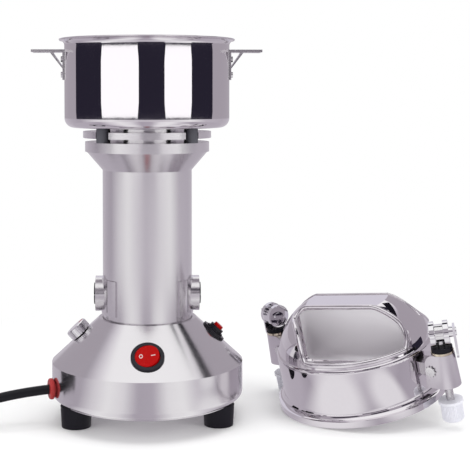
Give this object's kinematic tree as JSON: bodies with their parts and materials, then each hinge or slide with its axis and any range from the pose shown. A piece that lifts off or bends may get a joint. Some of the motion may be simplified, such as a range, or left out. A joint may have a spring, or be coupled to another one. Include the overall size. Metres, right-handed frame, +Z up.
{
  "type": "electric powder grinder",
  "caption": "Upright electric powder grinder: domed base with rocker switch and timer, motor column, steel bowl with clamp ears, and a clamp-down lid beside it.",
  "frame": {"origin": "on the table under the motor's axis, at the centre of the foot pattern", "axes": "+Z up, -Y to the front with the switch, +X to the machine's right as seen from the front"},
  "size_m": [0.6309, 0.1931, 0.3696],
  "materials": {
    "silver_casting": "satin silver",
    "column_alloy": "satin",
    "polished_steel": "mirror polish",
    "steel_plate": "satin",
    "bright_steel": "bright",
    "chrome_knob": "polished",
    "black_rubber": "matt",
    "grey_rubber": "matt",
    "white_rubber": "matt",
    "red_rubber": "satin",
    "black_plastic": "satin",
    "red_plastic": "gloss",
    "white_plastic": "satin",
    "cord_sheath": "satin",
    "brass": "bright",
    "carbon": "matt",
    "core_iron": "oiled",
    "copper": "enamelled",
    "yellow_case": "gloss"
  },
  "bodies": {
    "machine": {"base_housing": "silver_casting", "bottom_cover": "steel_plate", "rubber_feet": "black_rubber", "foot_fasteners": "bright_steel", "motor_column": "column_alloy", "brush_holders": "brass", "carbon_brushes": "carbon", "brush_caps": "black_plastic", "end_bell": "column_alloy", "motor_bearings": "bright_steel", "bearing_retainer": "steel_plate", "tie_bolts": "bright_steel", "stator_core": "core_iron", "field_coils": "copper", "neck_flange": "column_alloy", "neck_buffers": "grey_rubber", "shaft_seal": "black_rubber", "bowl": "polished_steel", "bowl_screws": "bright_steel", "bowl_ears": "steel_plate", "ear_rivets": "bright_steel", "power_switch": "black_plastic", "switch_contacts": "brass", "timer_body": "black_plastic", "overload_breaker": "black_plastic", "cord_grommet": "red_rubber", "terminal_block": "black_plastic", "capacitor": "yellow_case", "power_cord": "cord_sheath", "cord_coil": "cord_sheath", "cord_tie": "black_plastic", "plug_body": "cord_sheath", "plug_pins": "brass"},
    "rotor": {"motor_shaft": "bright_steel", "commutator": "copper", "armature_core": "core_iron", "armature_winding": "copper", "cooling_fan": "black_plastic", "lower_blade": "bright_steel", "upper_blade": "bright_steel", "blade_spacers": "bright_steel", "blade_nut": "bright_steel"},
    "rocker": {"switch_rocker": "red_plastic"},
    "timer_dial": {"timer_knob": "chrome_knob"},
    "reset": {"reset_button": "red_plastic"},
    "lid": {"lid_shell": "polished_steel", "lid_gasket": "white_rubber", "hinge_lugs": "steel_plate", "hinge_pins": "bright_steel"},
    "clamp_left": {"clamp_bracket_left": "steel_plate", "clamp_cushion_left": "black_rubber", "clamp_bolt_left": "bright_steel"},
    "lever_left": {"clamp_lever_left": "bright_steel"},
    "nut_left": {"clamp_nut_left": "white_plastic"},
    "clamp_right": {"clamp_bracket_right": "steel_plate", "clamp_cushion_right": "black_rubber", "clamp_bolt_right": "bright_steel"},
    "lever_right": {"clamp_lever_right": "bright_steel"},
    "nut_right": {"clamp_nut_right": "white_plastic"}
  },
  "joints": [
    {"name": "rotor_spin", "type": "hinge", "parent": "machine", "child": "rotor", "pos_m": [0, 0, 0.2873], "axis": [0, 0, 1], "continuous": true},
    {"name": "switch_rock", "type": "hinge", "parent": "machine", "child": "rocker", "pos_m": [0, -0.073, 0.07546], "axis": [0, 0.7348, 0.6783], "range_deg": [0, 20]},
    {"name": "timer_turn", "type": "hinge", "parent": "machine", "child": "timer_dial", "pos_m": [-0.06789, 0, 0.08698], "axis": [-0.6783, 0, 0.7348], "range_deg": [-300, 0]},
    {"name": "reset_press", "type": "slide", "parent": "machine", "child": "reset", "axis": [-0.6783, 0, -0.7348], "range_m": [0, 0.0025], "stiffness_N_per_m": 600},
    {"name": "lid_lift", "type": "slide", "parent": "machine", "child": "lid", "axis": [0, 0, 1], "range_m": [0, 0.2]},
    {"name": "clamp_swing_right", "type": "hinge", "parent": "lid", "child": "clamp_right", "pos_m": [0.273, -0.05377, 0.05973], "axis": [-0.6887, -0.6855, -0.2362], "range_deg": [0, 23]},
    {"name": "lever_turn_right", "type": "hinge", "parent": "clamp_right", "child": "lever_right", "pos_m": [0.27176, -0.06433, 0.09398], "axis": [0.9508, -0.2612, 0.1665], "range_deg": [0, 90]},
    {"name": "nut_turn_right", "type": "hinge", "parent": "clamp_right", "child": "nut_right", "pos_m": [0.28753, -0.05447, 0.01942], "axis": [-0.2052, -0.1282, 0.9703], "continuous": true},
    {"name": "clamp_swing_left", "type": "hinge", "parent": "lid", "child": "clamp_left", "pos_m": [0.14643, 0.07666, 0.0502], "axis": [0.6887, 0.6855, 0.2362], "range_deg": [0, 23]},
    {"name": "lever_turn_left", "type": "hinge", "parent": "clamp_left", "child": "lever_left", "pos_m": [0.13337, 0.07829, 0.08357], "axis": [-0.4025, 0.9147, 0.0358], "range_deg": [0, 90]},
    {"name": "nut_turn_left", "type": "hinge", "parent": "clamp_left", "child": "nut_left", "pos_m": [0.14849, 0.08773, 0.01207], "axis": [-0.2052, -0.1282, 0.9703], "continuous": true}
  ]
}
